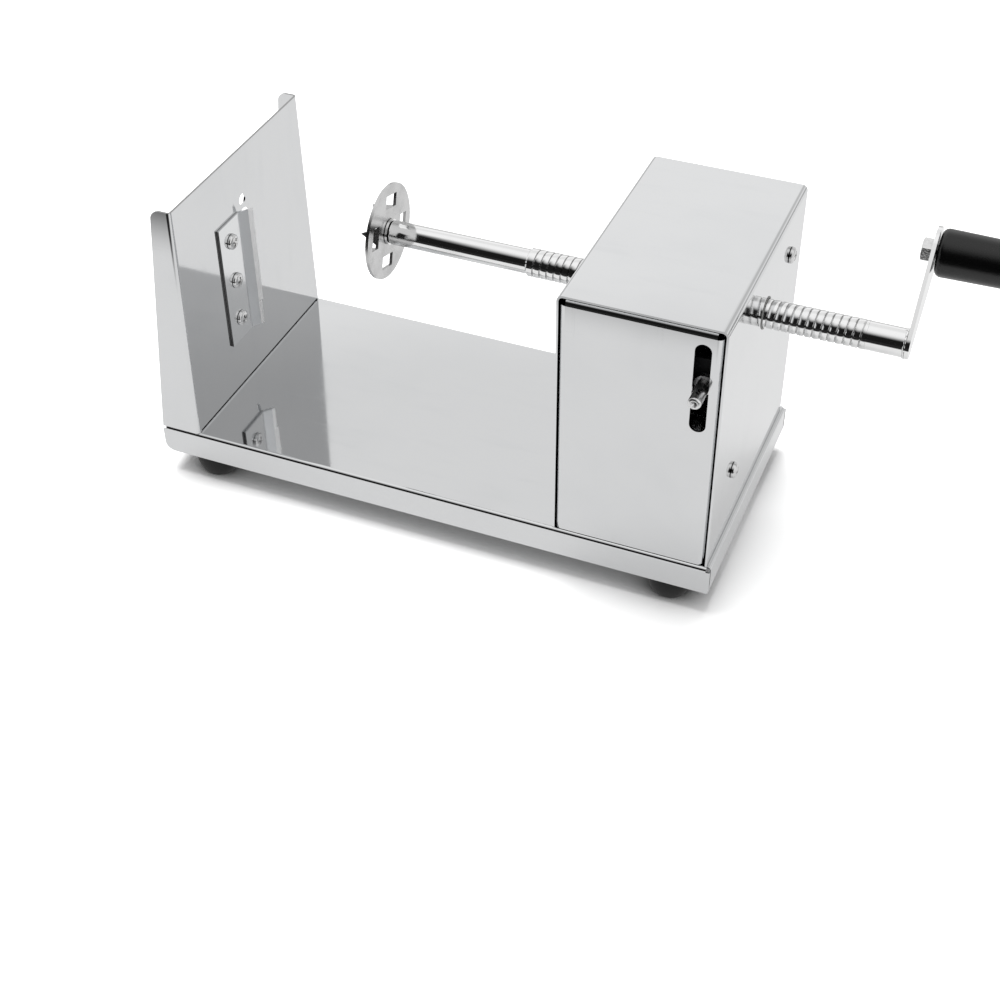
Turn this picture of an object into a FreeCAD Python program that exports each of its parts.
"""Hand cranked tornado potato cutter: base tray, end plate with blade, threaded rod with crank, and housing."""
import FreeCAD, Part
import math
import os
from FreeCAD import Vector

# Sheet metal and general clearances, in millimetres
sheet = 1.0
bend = 2.0
gap = 0.3
slip = 0.1

# Base tray on four feet
base_length = 290.0
base_depth = 134.0
base_flange = 15.0
lip_width = 24.0
lip_end_inset = 9.0
left_flange_corner = 5.0
right_flange_corner = 1.0
foot_height = 12.5
foot_radius = 11.5
foot_base_radius = 8.6
foot_left_inset = 23.5
foot_right_inset = 21.5
foot_edge_inset = 0.5
foot_recess_radius = 4.2
foot_recess_depth = 5.0

# Small screws and nuts
screw_radius = 1.95
screw_head_radius = 3.9
screw_head_height = 2.6
nut_flats = 7.0
nut_height = 3.2
nut_overrun = 1.0

# Rod line
rod_height = 99.5
thread_radius = 6.75
thread_pitch = 3.5
shaft_radius = 5.9
tail_radius = 6.6
shaft_start = 103.3
thread_start = 174.8
thread_end = 334.3
rod_end = 351.8
socket_radius = 2.0
socket_depth = 20.0
nose_radius = 4.0
nose_head_radius = 5.2
nose_head_height = 1.2

# Pronged disc and the loose washer behind it
disc_radius = 23.5
disc_sheet = 1.5
window_length = 11.0
window_height = 6.5
window_middle = 15.0
window_angle = -15.0
prong_count = 4
prong_length = 8.0
prong_width = 8.0
washer_height = 1.2
washer_radius = 6.3

# End plate
plate_face = 21.0
plate_height = 126.0
plate_inset = 0.3
plate_taper = 4.0
plate_flange_top = 10.5
plate_flange_corner = 5.0
plate_foot_start = 6.0
plate_foot_inset = 3.0
plate_foot_bend = 1.5
plate_screw_side = 25.0
centre_hole_radius = 3.0
slice_slot_start = 5.5
slice_slot_width = 11.0
slice_slot_top = 5.0
slice_slot_bottom = 56.0

# Blade
blade_sheet = 1.2
blade_strip_width = 20.0
blade_strip_edge = 6.5
blade_lip_length = 8.5
blade_lip_angle = 39.0
blade_bevel = 3.0
blade_top = 3.5
blade_edge_bottom = 57.5
blade_bottom = 71.5
blade_heel_cut = 1.3
blade_screw_side = 10.0
blade_screw_drops = (14.5, 37.0, 59.5)

# Housing
housing_left = 212.0
housing_right = 288.0
housing_front = 1.5
housing_back = 129.0
housing_height = 131.0
housing_bend = 3.0
housing_lip = 14.0
panel_flange = 12.0
panel_bend = 3.0
panel_gap = 0.8
panel_corner = 3.0
housing_screw_side = 8.0
housing_screw_inset = 28.0
slot_middle = 277.7
slot_width = 7.5
slot_length = 46.0
bush_radius = 7.6
bush_flange_radius = 11.0
bush_flange = 2.5
bush_stand = 0.3
bush_clearance = 0.2

# Release lever with its half nut, pin and spring
pivot_back = 39.7
pivot_rise = 7.0
pivot_radius = 4.0
hub_radius = 7.0
lever_sheet = 3.0
lever_inner = 282.0
lever_front = 10.0
lever_arch_top = 21.0
lever_arch_half = 13.0
lever_arm_top = 10.0
lever_arm_bottom = 9.0
lever_margin = 2.0
lever_arm_rise = 34.0
lever_notch = 11.6
lever_notch_back = 3.0
lever_notch_rise = 2.0
nut_length = 16.0
nut_half_width = 12.0
nut_top = 17.0
nut_screw_side = 8.0
nut_screw_rise = 13.0
nut_screw_radius = 1.75
nut_screw_head = 3.2
nut_screw_head_height = 2.4
pin_radius = 3.0
pin_reach = 9.0
pin_drop = 1.8
pin_tip_rounding = 1.1
pin_dimple_radius = 1.5
pin_dimple_depth = 1.6
pin_collar_radius = 4.8
pin_stud_radius = 2.0
anchor_radius = 3.0
anchor_front = 33.4
anchor_height = 34.0
post_radius = 2.0
post_head_radius = 3.0
post_drop = 3.0
spring_middle = 276.0
spring_radius = 4.5
spring_wire = 0.6
spring_stem = 4.0

# Crank and grip
crank_radius = 44.4
crank_tilt = 53.0
crank_sheet = 1.8
crank_rod_end = 7.0
crank_grip_end = 11.3
bolt_radius = 3.0
bolt_flats = 10.0
bolt_head_height = 5.0
grip_length = 84.0
grip_root_radius = 10.9
grip_end_radius = 9.8
grip_rounding = 3.0
grip_gap = 0.5
grip_recess_radius = 7.0
grip_recess_depth = 8.0

# Heights and middles that follow from the dimensions above
base_bottom = foot_height
base_top = foot_height + base_flange
middle = base_depth / 2
rod_z = base_top + rod_height
housing_top = base_top + housing_height
pivot_y = middle + pivot_back
pivot_z = rod_z + pivot_rise
anchor_z = base_top + anchor_height
post_z = rod_z - post_drop
pin_z = rod_z - pin_drop
grip_y = middle + crank_radius * math.sin(math.radians(crank_tilt))
grip_z = rod_z + crank_radius * math.cos(math.radians(crank_tilt))
grip_start = rod_end + crank_sheet + grip_gap
grip_end = grip_start + grip_length
pin_tip = housing_front - pin_reach
origin = Vector(grip_end / 2, (pin_tip + base_depth) / 2, 0)


# Basic solids

def block(x0, x1, y0, y1, z0, z1):
    return Part.makeBox(x1 - x0, y1 - y0, z1 - z0, Vector(x0, y0, z0))


def bar_x(radius, x0, x1, y, z):
    return Part.makeCylinder(radius, x1 - x0, Vector(x0, y, z), Vector(1, 0, 0))


def bar_y(radius, y0, y1, x, z):
    return Part.makeCylinder(radius, y1 - y0, Vector(x, y0, z), Vector(0, 1, 0))


def bar_z(radius, z0, z1, x, y):
    return Part.makeCylinder(radius, z1 - z0, Vector(x, y, z0), Vector(0, 0, 1))


def prism(points, path):
    """A closed outline of vectors, pushed along a vector."""
    return Part.Face(Part.makePolygon(points + [points[0]])).extrude(path)


def prism_x(points, x0, x1):
    return prism([Vector(x0, y, z) for y, z in points], Vector(x1 - x0, 0, 0))


def prism_y(points, y0, y1):
    return prism([Vector(x, y0, z) for x, z in points], Vector(0, y1 - y0, 0))


def prism_z(points, z0, z1):
    return prism([Vector(x, y, z0) for x, y in points], Vector(0, 0, z1 - z0))


def fused(shapes):
    whole = shapes[0]
    for shape in shapes[1:]:
        whole = whole.fuse(shape)
    return whole.removeSplitter()


def cut_all(shape, tools):
    for tool in tools:
        shape = shape.cut(tool)
    return shape


def turned(outline, arcs=()):
    """Revolve an outline of (along, radius) points about the local Z axis. An arc point bulges the side after it."""
    edges = []
    count = len(outline)
    bulges = dict(arcs)
    for i in range(count):
        a, b = outline[i], outline[(i + 1) % count]
        start = Vector(a[1], 0, a[0])
        end = Vector(b[1], 0, b[0])
        if i in bulges:
            m = bulges[i]
            edges.append(Part.Arc(start, Vector(m[1], 0, m[0]), end).toShape())
        elif (start - end).Length > 1e-6:
            edges.append(Part.LineSegment(start, end).toShape())
    return Part.Face(Part.Wire(edges)).revolve(Vector(0, 0, 0), Vector(0, 0, 1), 360)


def aimed(shape, direction, at):
    """Turn a shape from the Z axis to a direction and move it to a point."""
    turn = FreeCAD.Rotation(Vector(0, 0, 1), direction)
    moved = shape.copy()
    moved.Placement = FreeCAD.Placement(at, turn)
    return moved


def round_edges(shape, radius, chosen):
    edges = [e for e in shape.Edges if chosen(e)]
    return shape.makeFillet(radius, edges)


def middle_of(edge):
    return edge.valueAt((edge.FirstParameter + edge.LastParameter) / 2)


def runs_along(edge, direction):
    if len(edge.Vertexes) != 2:
        return False
    span = edge.Vertexes[1].Point - edge.Vertexes[0].Point
    return span.Length > 1e-6 and abs(abs(span.normalize().dot(direction)) - 1) < 1e-3


# Folded sheet: a strip that follows a path, with a bend radius at each corner

def folded(path, thickness, radii, to_space, push):
    """The path is the outside of the sheet, and the sheet lies on its left."""
    def unit(a, b):
        d = math.hypot(b[0] - a[0], b[1] - a[1])
        return ((b[0] - a[0]) / d, (b[1] - a[1]) / d)

    outside, inside = [], []
    start = path[0]
    for i in range(1, len(path) - 1):
        u = unit(path[i - 1], path[i])
        w = unit(path[i], path[i + 1])
        turn = u[0] * w[1] - u[1] * w[0]
        half = math.acos(u[0] * w[0] + u[1] * w[1]) / 2
        radius = radii[i - 1]
        back = radius * math.tan(half)
        a = (path[i][0] - u[0] * back, path[i][1] - u[1] * back)
        b = (path[i][0] + w[0] * back, path[i][1] + w[1] * back)
        side = 1 if turn > 0 else -1
        centre = (a[0] - u[1] * radius * side, a[1] + u[0] * radius * side)
        mid = unit(centre, path[i])
        inner = radius - thickness * side
        outside.append(("line", start, a))
        outside.append(("arc", a, (centre[0] + mid[0] * radius, centre[1] + mid[1] * radius), b))
        inside.append(("line", (start[0] - u[1] * thickness, start[1] + u[0] * thickness),
                       (a[0] - u[1] * thickness, a[1] + u[0] * thickness)))
        inside.append(("arc", (a[0] - u[1] * thickness, a[1] + u[0] * thickness),
                       (centre[0] + mid[0] * inner, centre[1] + mid[1] * inner),
                       (b[0] - w[1] * thickness, b[1] + w[0] * thickness)))
        start = b
    end = path[-1]
    w = unit(start, end)
    outside.append(("line", start, end))
    inside.append(("line", (start[0] - w[1] * thickness, start[1] + w[0] * thickness),
                   (end[0] - w[1] * thickness, end[1] + w[0] * thickness)))
    edges = []
    for run in outside + inside:
        points = [to_space(*p) for p in run[1:]]
        if run[0] == "line":
            edges.append(Part.LineSegment(*points).toShape())
        else:
            edges.append(Part.Arc(*points).toShape())
    for a, b in ((outside[0][1], inside[0][1]), (outside[-1][-1], inside[-1][-1])):
        edges.append(Part.LineSegment(to_space(*a), to_space(*b)).toShape())
    return Part.Face(Part.Wire(Part.__sortEdges__(edges))).extrude(push)


def folded_along_x(path, radii, x0, x1, thickness=sheet):
    return folded(path, thickness, radii, lambda y, z: Vector(x0, y, z), Vector(x1 - x0, 0, 0))


def folded_along_y(path, radii, y0, y1, thickness=sheet):
    return folded(path, thickness, radii, lambda x, z: Vector(x, y0, z), Vector(0, y1 - y0, 0))


def folded_along_z(path, radii, z0, z1, thickness=sheet):
    return folded(path, thickness, radii, lambda x, y: Vector(x, y, z0), Vector(0, 0, z1 - z0))


# Screws and nuts, along the local Z axis with the seat at zero

def pan_screw(length, radius=screw_radius, head=screw_head_radius, height=screw_head_height):
    outline = [(-length, 0), (-length, radius), (0, radius), (0, head), (0.4 * height, head),
               (0.82 * height, 0.82 * head), (height, 0.5 * head), (height, 0)]
    return turned(outline)


def hexagon(flats, height, bore=0.0):
    corner = flats / math.sqrt(3)
    points = [(corner * math.cos(math.radians(60 * k)), corner * math.sin(math.radians(60 * k))) for k in range(6)]
    body = prism_z(points, 0, height)
    return body.cut(bar_z(bore, -1, height + 1, 0, 0)) if bore else body


def small_nut():
    return hexagon(nut_flats, nut_height, screw_radius + slip)


def group(shapes):
    return Part.Compound(shapes)


# Base tray: top sheet with flanges all round and a lip under each long side

def base_tray():
    lip = [(lip_width, base_bottom), (0, base_bottom), (0, base_top), (base_depth, base_top),
           (base_depth, base_bottom), (base_depth - lip_width, base_bottom)]
    lipped = folded_along_x(lip[::-1], [bend] * 4, lip_end_inset, base_length - lip_end_inset)
    sides = folded_along_x(lip[1:5][::-1], [bend] * 2, bend, base_length - bend)
    ends = folded_along_y([(0, base_bottom), (0, base_top), (base_length, base_top), (base_length, base_bottom)][::-1],
                          [bend] * 2, bend, base_depth - bend)
    wings = []
    for x0 in (0, base_length - bend - sheet):
        for y0 in (0, base_depth - sheet):
            wings.append(block(x0, x0 + bend + sheet, y0, y0 + sheet, base_bottom, base_top - bend))
    tray = fused([lipped, sides, ends] + wings)
    corners = [corner_waste(0, 1, left_flange_corner), corner_waste(base_length, -1, right_flange_corner)]
    holes = []
    for x, y in foot_places():
        holes.append(bar_z(screw_radius + gap, base_bottom - 1, base_bottom + sheet + bend, x, y))
    for x, y in plate_screw_places() + housing_screw_places():
        holes.append(bar_z(screw_radius + gap, base_top - 2 * sheet, base_top + sheet, x, y))
    return cut_all(tray, corners + holes)


def corner_waste(x, inward, radius):
    """What is cut away outside a rounded lower corner at one end of the flanges."""
    far = x + inward * radius
    square = block(min(x - inward, far), max(x - inward, far), -1, base_depth + 1, base_bottom - 1,
                   base_bottom + radius)
    return square.cut(bar_y(radius, -2, base_depth + 2, far, base_bottom + radius))


def foot_places():
    edge = foot_edge_inset + foot_radius
    return [(x, y) for x in (foot_left_inset, base_length - foot_right_inset) for y in (edge, base_depth - edge)]


def plate_screw_places():
    x = (plate_foot_start + plate_face - sheet) / 2
    return [(x, plate_screw_side), (x, base_depth - plate_screw_side)]


def housing_screw_places():
    xs = (housing_left + housing_screw_side, housing_right - housing_screw_side)
    ys = (housing_front + housing_screw_inset, housing_back - housing_screw_inset)
    return [(x, y) for x in xs for y in ys]


def foot(x, y):
    flank = (0.42 * foot_height, 0.94 * foot_radius)
    bore = screw_radius + gap
    outline = [(foot_height, bore), (foot_height, foot_radius), (0, foot_base_radius), (0, foot_recess_radius),
               (foot_recess_depth, foot_recess_radius), (foot_recess_depth, bore)]
    return aimed(turned(outline, {1: flank}.items()), Vector(0, 0, 1), Vector(x, y, 0))


def foot_screws():
    length = foot_height - foot_recess_depth + sheet + nut_height + nut_overrun
    return group([aimed(pan_screw(length), Vector(0, 0, -1), Vector(x, y, foot_recess_depth))
                  for x, y in foot_places()])


def foot_nuts():
    return group([aimed(small_nut(), Vector(0, 0, 1), Vector(x, y, base_bottom + sheet)) for x, y in foot_places()])


def floor_screws(places):
    """Screws down through a flange that stands on the tray."""
    length = 2 * sheet + nut_height + nut_overrun
    return group([aimed(pan_screw(length), Vector(0, 0, 1), Vector(x, y, base_top + sheet)) for x, y in places])


def floor_nuts(places):
    return group([aimed(small_nut(), Vector(0, 0, -1), Vector(x, y, base_top - sheet)) for x, y in places])


# End plate: tapered web with side flanges folded outward and a foot on the tray

def end_plate():
    top = base_top + plate_height
    near, far = plate_inset, base_depth - plate_inset
    outer = prism_x([(near, base_top), (far, base_top), (far - plate_taper, top), (near + plate_taper, top)],
                    0, plate_face)
    slope = plate_taper / plate_height
    skin = sheet * math.hypot(1, slope)
    inner = prism_x([(near + skin - slope, base_top - 1), (far - skin + slope, base_top - 1),
                     (far - skin - plate_taper - slope, top + 1), (near + skin + plate_taper + slope, top + 1)],
                    -1, plate_face - sheet)
    channel = outer.cut(inner)
    edge = plate_face - plate_flange_top
    channel = channel.cut(prism_y([(-5, base_top - 1), (0, base_top), (edge, top), (edge, top + 1), (-5, top + 1)],
                                  -1, base_depth + 1))
    lean = Vector(0, slope, 1).normalize()
    back_lean = Vector(0, -slope, 1).normalize()

    def upright(e):
        return runs_along(e, lean) or runs_along(e, back_lean)

    channel = round_edges(channel, bend, lambda e: upright(e) and abs(middle_of(e).x - plate_face) < 0.01)
    channel = round_edges(channel, bend - sheet,
                          lambda e: upright(e) and abs(middle_of(e).x - plate_face + sheet) < 0.01)
    channel = round_edges(channel, plate_flange_corner,
                          lambda e: e.Length < 2 * sheet and abs(middle_of(e).z - top) < 0.01
                          and abs(middle_of(e).x - edge) < 0.01)
    foot_flange = block(plate_foot_start, plate_face - sheet / 2, near + plate_foot_inset, far - plate_foot_inset,
                        base_top, base_top + sheet)
    plate = fused([channel, foot_flange])
    bend_waste = block(plate_face - plate_foot_bend, plate_face + 1, near + plate_foot_inset,
                       far - plate_foot_inset, base_top - 1, base_top + plate_foot_bend)
    tools = [bend_waste.cut(bar_y(plate_foot_bend, 0, base_depth, plate_face - plate_foot_bend,
                                  base_top + plate_foot_bend))]
    tools.append(bar_x(centre_hole_radius, 0, plate_face + 1, middle, rod_z))
    tools.append(obround_x(middle - slice_slot_start, middle - slice_slot_start + slice_slot_width,
                           rod_z - slice_slot_bottom, rod_z - slice_slot_top, plate_face - 3, plate_face + 1))
    for y, z in blade_screw_places():
        tools.append(bar_x(screw_radius + gap, plate_face - 3, plate_face + 1, y, z))
    for x, y in plate_screw_places():
        tools.append(bar_z(screw_radius + gap, base_top - 1, base_top + 2 * sheet, x, y))
    return cut_all(plate, tools)


def obround_x(y0, y1, z0, z1, x0, x1):
    half = (y1 - y0) / 2
    y = (y0 + y1) / 2
    return fused([block(x0, x1, y0, y1, z0 + half, z1 - half), bar_x(half, x0, x1, y, z0 + half),
                  bar_x(half, x0, x1, y, z1 - half)])


def obround_y(x0, x1, z0, z1, y0, y1):
    half = (x1 - x0) / 2
    x = (x0 + x1) / 2
    return fused([block(x0, x1, y0, y1, z0 + half, z1 - half), bar_y(half, y0, y1, x, z0 + half),
                  bar_y(half, y0, y1, x, z1 - half)])


# Blade: a flat strip on the web, and a lip bent out of it with a ground edge on the radius of the rod line

def blade_screw_places():
    y = middle - blade_strip_edge - blade_screw_side
    return [(y, rod_z - drop) for drop in blade_screw_drops]


def blade():
    angle = math.radians(blade_lip_angle)
    along = (math.sin(angle), math.cos(angle))
    out = (math.cos(angle), -math.sin(angle))
    root = (plate_face, middle - blade_strip_edge)
    face = plate_face + blade_sheet
    crease = root[1] - blade_sheet * math.tan(angle / 2)
    low = root[1] - blade_strip_width

    def step(point, a, b):
        return (point[0] + along[0] * a + out[0] * b, point[1] + along[1] * a + out[1] * b)

    strip = [(face, low), (plate_face, low), root]
    bevelled = strip + [step(root, blade_lip_length, 0),
                        step(root, blade_lip_length - blade_bevel, blade_sheet), (face, crease)]
    heel = blade_lip_length - blade_heel_cut
    plain = strip + [step(root, heel, 0), step(root, heel, blade_sheet), (face, crease)]
    whole = fused([prism_z(bevelled, rod_z - blade_edge_bottom, rod_z - blade_top),
                   prism_z(plain, rod_z - blade_bottom, rod_z - blade_edge_bottom)])
    return cut_all(whole, [bar_x(screw_radius + gap, plate_face - 1, face + 1, y, z)
                           for y, z in blade_screw_places()])


def blade_screws():
    length = blade_sheet + sheet + nut_height + nut_overrun
    return group([aimed(pan_screw(length), Vector(1, 0, 0), Vector(plate_face + blade_sheet, y, z))
                  for y, z in blade_screw_places()])


def blade_nuts():
    return group([aimed(small_nut(), Vector(-1, 0, 0), Vector(plate_face - sheet, y, z))
                  for y, z in blade_screw_places()])


# Housing: one sheet folded over the mechanism, closed by a front and a back panel

def side_screw_places():
    return [(pivot_y, pivot_z), (anchor_front, anchor_z)]


def housing_wrap():
    full = [(housing_left + housing_lip, base_top), (housing_left, base_top), (housing_left, housing_top),
            (housing_right, housing_top), (housing_right, base_top), (housing_right - housing_lip, base_top)]
    lip_inset = panel_flange + 2 * sheet
    lipped = folded_along_y(full[::-1], [bend, housing_bend, housing_bend, bend],
                            housing_front + lip_inset, housing_back - lip_inset)
    hood = folded_along_y(full[1:5][::-1], [housing_bend] * 2, housing_front, housing_back)
    tools = [bar_x(bush_radius + slip, housing_left - 1, housing_right + 1, middle, rod_z)]
    for y, z in side_screw_places():
        tools.append(bar_x(screw_radius + gap, housing_left - 1, housing_right + 1, y, z))
    for x, y in housing_screw_places():
        tools.append(bar_z(screw_radius + gap, base_top - 1, base_top + 2 * sheet, x, y))
    return cut_all(fused([lipped, hood]), tools)


def panel(outer_face, inward):
    """A pan that closes one end of the hood, its flanges turned into the housing."""
    left, right = housing_left + sheet, housing_right - sheet - panel_gap
    top = housing_top - sheet - panel_gap
    reach = outer_face + inward * panel_flange
    bottom = base_top + gap
    path = [(left, reach), (left, outer_face), (right, outer_face), (right, reach)]
    if inward < 0:
        path = path[::-1]
    sides = folded_along_z(path, [panel_bend] * 2, bottom, top - panel_bend)
    cap_path = [(outer_face, bottom), (outer_face, top), (reach, top)]
    if inward > 0:
        cap_path = cap_path[::-1]
    cap = folded_along_x(cap_path, [panel_bend], left + panel_bend, right - panel_bend)
    corner = block(right - panel_corner, right + 1, housing_front - 1, housing_back + 1, bottom - 1,
                   bottom + panel_corner)
    corner = corner.cut(bar_y(panel_corner, housing_front - 2, housing_back + 2, right - panel_corner,
                              bottom + panel_corner))
    return fused([sides, cap]).cut(corner)


def front_panel():
    slot = obround_y(slot_middle - slot_width / 2, slot_middle + slot_width / 2, rod_z - slot_length / 2,
                     rod_z + slot_length / 2, housing_front - 1, housing_front + 2 * sheet)
    return panel(housing_front, 1).cut(slot)


def back_panel():
    return panel(housing_back, -1)


def bush(wall, inward):
    """A flanged sleeve in a side wall. The flange is inside the housing."""
    inner = sheet + bush_flange
    bore = thread_radius + bush_clearance
    outline = [(-bush_stand, bore), (-bush_stand, bush_radius), (sheet, bush_radius), (sheet, bush_flange_radius),
               (inner, bush_flange_radius), (inner, bore)]
    return aimed(turned(outline), Vector(inward, 0, 0), Vector(wall, middle, rod_z))


def tapped_rod(radius, y, z):
    """A rod from wall to wall with a screw hole in each end."""
    depth = screw_length_in_rod() + 2 * gap
    left, right = housing_left + sheet, housing_right - sheet
    rod = bar_x(radius, left, right, y, z)
    return cut_all(rod, [bar_x(screw_radius + slip, left - 1, left + depth, y, z),
                         bar_x(screw_radius + slip, right - depth, right + 1, y, z)])


def screw_length_in_rod():
    return 5 * screw_radius


def side_screws():
    screws = []
    for y, z in side_screw_places():
        for wall, out in ((housing_left, -1), (housing_right, 1)):
            screws.append(aimed(pan_screw(sheet + screw_length_in_rod()), Vector(out, 0, 0), Vector(wall, y, z)))
    return group(screws)


# Release lever: a plate that arches over the rod, on a tube round the pivot rod

def release_lever():
    face = lever_inner + lever_sheet
    eye = hub_radius + lever_margin
    arch = [(pivot_y, pivot_z - eye), (pivot_y, pivot_z + eye),
            (middle + lever_arch_half, rod_z + lever_arch_top), (middle - lever_arch_half, rod_z + lever_arch_top),
            (lever_arm_rise, rod_z + lever_arm_top), (lever_front, rod_z + lever_arm_top),
            (lever_front, rod_z - lever_arm_bottom),
            (middle - lever_notch - lever_margin, rod_z - lever_arm_bottom)]
    plate = prism_x(arch, lever_inner, face).fuse(bar_x(eye, lever_inner, face, pivot_y, pivot_z))
    plate = cut_all(plate, [bar_x(lever_notch, lever_inner - 1, face + 1, middle, rod_z),
                            block(lever_inner - 1, face + 1, middle - lever_notch,
                                  middle + lever_notch + lever_notch_back, rod_z - 4 * lever_notch,
                                  rod_z + lever_notch_rise)])
    tab = block(slot_middle - pin_collar_radius - lever_margin, face, lever_front, lever_front + lever_sheet,
                rod_z - lever_arm_bottom, rod_z + lever_arm_top)
    hub = bar_x(hub_radius, housing_left + sheet + 2 * gap, housing_right - sheet - 2 * gap, pivot_y, pivot_z)
    post_end = spring_middle - spring_wire - 2 * gap
    post = bar_x(post_radius, post_end - sheet, lever_inner, anchor_front, post_z)
    post_head = bar_x(post_head_radius, post_end - sheet, post_end, anchor_front, post_z)
    lever = fused([plate, tab, hub, post, post_head])
    lever = round_edges(lever, lever_sheet,
                        lambda e: runs_along(e, Vector(0, 0, 1)) and abs(middle_of(e).x - face) < 0.01
                        and abs(middle_of(e).y - lever_front) < 0.01)
    tools = [bar_x(pivot_radius + gap, housing_left, housing_right, pivot_y, pivot_z),
             bar_y(pin_stud_radius + slip, lever_front - 1, lever_front + lever_sheet + 1, slot_middle, pin_z)]
    for y, z in nut_screw_places():
        tools.append(bar_x(nut_screw_radius + slip, lever_inner - 1, face + 1, y, z))
    return cut_all(lever, tools)


def nut_screw_places():
    return [(middle + s * nut_screw_side, rod_z + nut_screw_rise) for s in (-1, 1)]


def half_nut():
    start = lever_inner - nut_length
    body = block(start, lever_inner, middle - nut_half_width, middle + nut_half_width, rod_z + gap, rod_z + nut_top)
    tools = [bar_x(thread_radius + gap, start - 1, lever_inner + 1, middle, rod_z)]
    for y, z in nut_screw_places():
        tools.append(bar_x(nut_screw_radius + slip, start - 1, lever_inner + 1, y, z))
    return cut_all(body, tools)


def half_nut_screws():
    start = lever_inner - nut_length
    screw = pan_screw(nut_length + lever_sheet, nut_screw_radius, nut_screw_head, nut_screw_head_height)
    return group([aimed(screw, Vector(-1, 0, 0), Vector(start, y, z)) for y, z in nut_screw_places()])


def release_pin():
    length = lever_front - pin_tip
    tail = lever_sheet + nut_height + nut_overrun
    collar = lever_sheet
    dimple = length - pin_dimple_depth
    outline = [(-tail, 0), (-tail, pin_stud_radius), (0, pin_stud_radius), (0, pin_collar_radius),
               (collar, pin_collar_radius), (collar, pin_radius), (length - pin_tip_rounding, pin_radius),
               (length, pin_radius - pin_tip_rounding), (length, pin_dimple_radius), (dimple, 0)]
    bow = pin_tip_rounding * (1 - math.sqrt(0.5))
    rim = (length - bow, pin_radius - bow)
    return aimed(turned(outline, {6: rim}.items()), Vector(0, -1, 0), Vector(slot_middle, lever_front, pin_z))


def release_pin_nut():
    nut = hexagon(nut_flats, nut_height, pin_stud_radius + slip)
    return aimed(nut, Vector(0, 1, 0), Vector(slot_middle, lever_front + lever_sheet, pin_z))


def spring():
    """The tension spring as a plain closed form, with its two hooks round the rod and the post."""
    low_ring = anchor_radius + gap + spring_wire
    high_ring = post_radius + gap + spring_wire
    low = anchor_z + low_ring
    high = post_z - high_ring
    x, y = spring_middle, anchor_front
    rings = [Part.makeTorus(low_ring, spring_wire, Vector(x, y, anchor_z), Vector(1, 0, 0)),
             Part.makeTorus(high_ring, spring_wire, Vector(x, y, post_z), Vector(1, 0, 0))]
    coil = bar_z(spring_radius, low + spring_stem, high - spring_stem, x, y)
    stem = bar_z(spring_wire, low, high, x, y)
    return fused([coil, stem] + rings)


# Threaded rod, disc and washer

def lead_screw():
    chamfer = thread_radius - shaft_radius
    nose = shaft_start - gap - washer_height - gap - disc_sheet
    tip = nose - nose_head_height
    outline = [(tip, socket_radius), (tip, nose_head_radius), (nose, nose_head_radius), (nose, nose_radius),
               (shaft_start, nose_radius), (shaft_start, shaft_radius), (thread_start - chamfer, shaft_radius),
               (thread_start, thread_radius), (thread_end, thread_radius), (thread_end, tail_radius),
               (rod_end - sheet, tail_radius), (rod_end, tail_radius - sheet), (rod_end, 0),
               (tip + socket_depth, 0), (tip + socket_depth, socket_radius)]
    return aimed(turned(outline), Vector(1, 0, 0), Vector(0, middle, rod_z))


def disc_start():
    return shaft_start - 2 * gap - washer_height - disc_sheet


def prong_disc():
    x0 = disc_start()
    x1 = x0 + disc_sheet
    disc = bar_x(disc_radius, x0, x1, middle, rod_z).cut(bar_x(nose_radius + slip, x0 - 1, x1 + 1, middle, rod_z))
    low = window_middle - window_height / 2
    high = window_middle + window_height / 2
    for k in range(prong_count):
        turn = 360.0 / prong_count * k + window_angle
        window = block(x0 - 1, x1 + 1, middle + low, middle + high, rod_z - window_length / 2,
                       rod_z + window_length / 2)
        half = prong_width / 2
        y = middle + low
        tooth = prism([Vector(x1, y - disc_sheet, rod_z - half), Vector(x1, y - disc_sheet, rod_z + half),
                       Vector(x0, y - disc_sheet, rod_z + half),
                       Vector(x0 - prong_length, y - disc_sheet, rod_z),
                       Vector(x0, y - disc_sheet, rod_z - half)], Vector(0, disc_sheet, 0))
        window.rotate(Vector(x0, middle, rod_z), Vector(1, 0, 0), turn)
        tooth.rotate(Vector(x0, middle, rod_z), Vector(1, 0, 0), turn)
        disc = disc.cut(window).fuse(tooth)
    return disc.removeSplitter()


def disc_washer():
    x0 = disc_start() + disc_sheet + gap
    ring = bar_x(washer_radius, x0, x0 + washer_height, middle, rod_z)
    return ring.cut(bar_x(nose_radius + gap, x0 - 1, x0 + washer_height + 1, middle, rod_z))


# Crank arm, its bolt and the grip that turns on it

def crank_arm():
    x0, x1 = rod_end, rod_end + crank_sheet
    tilt = math.radians(crank_tilt)
    lean = math.asin((crank_grip_end - crank_rod_end) / crank_radius)
    along = (math.sin(tilt), math.cos(tilt))
    across = (math.cos(tilt), -math.sin(tilt))

    def tangent(y, z, radius, side):
        a = -math.sin(lean) * radius
        b = side * math.cos(lean) * radius
        return (y + along[0] * a + across[0] * b, z + along[1] * a + across[1] * b)

    web = prism_x([tangent(middle, rod_z, crank_rod_end, 1), tangent(grip_y, grip_z, crank_grip_end, 1),
                   tangent(grip_y, grip_z, crank_grip_end, -1), tangent(middle, rod_z, crank_rod_end, -1)], x0, x1)
    arm = fused([web, bar_x(crank_rod_end, x0, x1, middle, rod_z), bar_x(crank_grip_end, x0, x1, grip_y, grip_z)])
    return arm.cut(bar_x(bolt_radius + slip, x0 - 1, x1 + 1, grip_y, grip_z))


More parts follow.
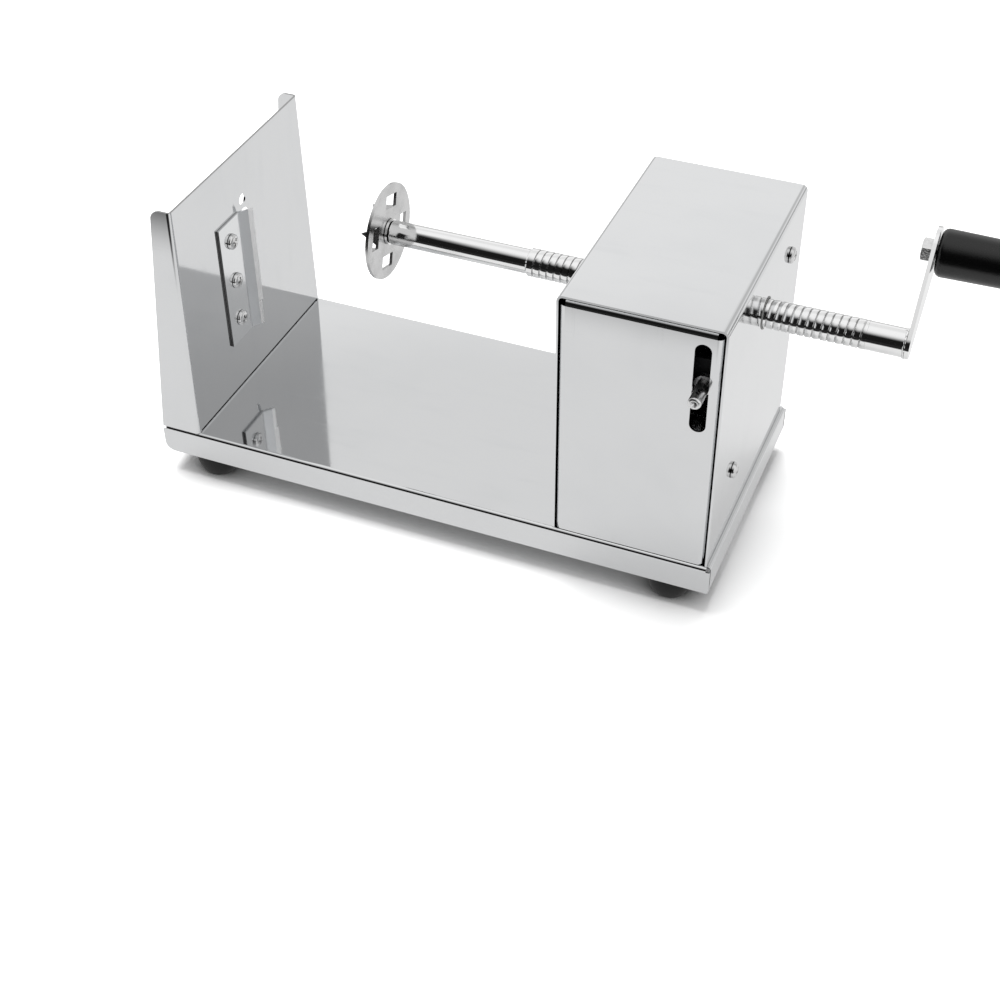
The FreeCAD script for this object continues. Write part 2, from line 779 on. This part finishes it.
def grip_bolt():
    head = hexagon(bolt_flats, bolt_head_height)
    reach = grip_end - sheet - rod_end
    shank = bar_z(bolt_radius, -reach, 0, 0, 0)
    return aimed(fused([head, shank]), Vector(-1, 0, 0), Vector(rod_end, grip_y, grip_z))


def grip_nut():
    nut = hexagon(bolt_flats, nut_height + nut_overrun, bolt_radius + slip)
    seat = grip_end - grip_recess_depth + grip_gap
    return aimed(nut, Vector(1, 0, 0), Vector(seat, grip_y, grip_z))


def grip():
    bore = bolt_radius + gap
    r = grip_rounding
    bow = r * (1 - math.sqrt(0.5))
    floor = grip_length - grip_recess_depth
    outline = [(0, bore), (0, grip_root_radius - r), (r, grip_root_radius), (grip_length - r, grip_end_radius),
               (grip_length, grip_end_radius - r), (grip_length, grip_recess_radius), (floor, grip_recess_radius),
               (floor, bore)]
    bulges = {1: (bow, grip_root_radius - bow), 3: (grip_length - bow, grip_end_radius - bow)}
    return aimed(turned(outline, bulges.items()), Vector(1, 0, 0), Vector(grip_start, grip_y, grip_z))


# Every piece, placed about the origin under the middle of the whole object

def pieces():
    feet = dict(zip(("foot_front_left", "foot_back_left", "foot_front_right", "foot_back_right"),
                    [foot(x, y) for x, y in foot_places()]))
    made = {
        "base_tray": base_tray(), "foot_screws": foot_screws(), "foot_nuts": foot_nuts(),
        "end_plate": end_plate(), "end_plate_screws": floor_screws(plate_screw_places()),
        "end_plate_nuts": floor_nuts(plate_screw_places()), "blade": blade(), "blade_screws": blade_screws(),
        "blade_nuts": blade_nuts(), "housing_wrap": housing_wrap(), "front_panel": front_panel(),
        "back_panel": back_panel(), "housing_screws": floor_screws(housing_screw_places()),
        "housing_nuts": floor_nuts(housing_screw_places()), "side_screws": side_screws(),
        "front_bush": bush(housing_left, 1), "rear_bush": bush(housing_right, -1),
        "pivot_rod": tapped_rod(pivot_radius, pivot_y, pivot_z),
        "anchor_rod": tapped_rod(anchor_radius, anchor_front, anchor_z), "spring": spring(),
        "release_lever": release_lever(), "half_nut": half_nut(), "half_nut_screws": half_nut_screws(),
        "release_pin": release_pin(), "release_pin_nut": release_pin_nut(), "disc_washer": disc_washer(),
        "lead_screw": lead_screw(), "prong_disc": prong_disc(), "crank_arm": crank_arm(),
        "grip_bolt": grip_bolt(), "grip_nut": grip_nut(), "grip": grip(),
    }
    made.update(feet)
    return made


def main():
    os.makedirs("parts", exist_ok=True)
    for name, shape in pieces().items():
        placed = shape.copy()
        placed.translate(-origin)
        placed.exportStep("parts/" + name + ".step")
        box = placed.BoundBox
        print(name, "solids", len(placed.Solids), "valid", placed.isValid(), "volume", round(placed.Volume),
              "x", round(box.XMin, 1), round(box.XMax, 1), "y", round(box.YMin, 1), round(box.YMax, 1),
              "z", round(box.ZMin, 1), round(box.ZMax, 1))


main()
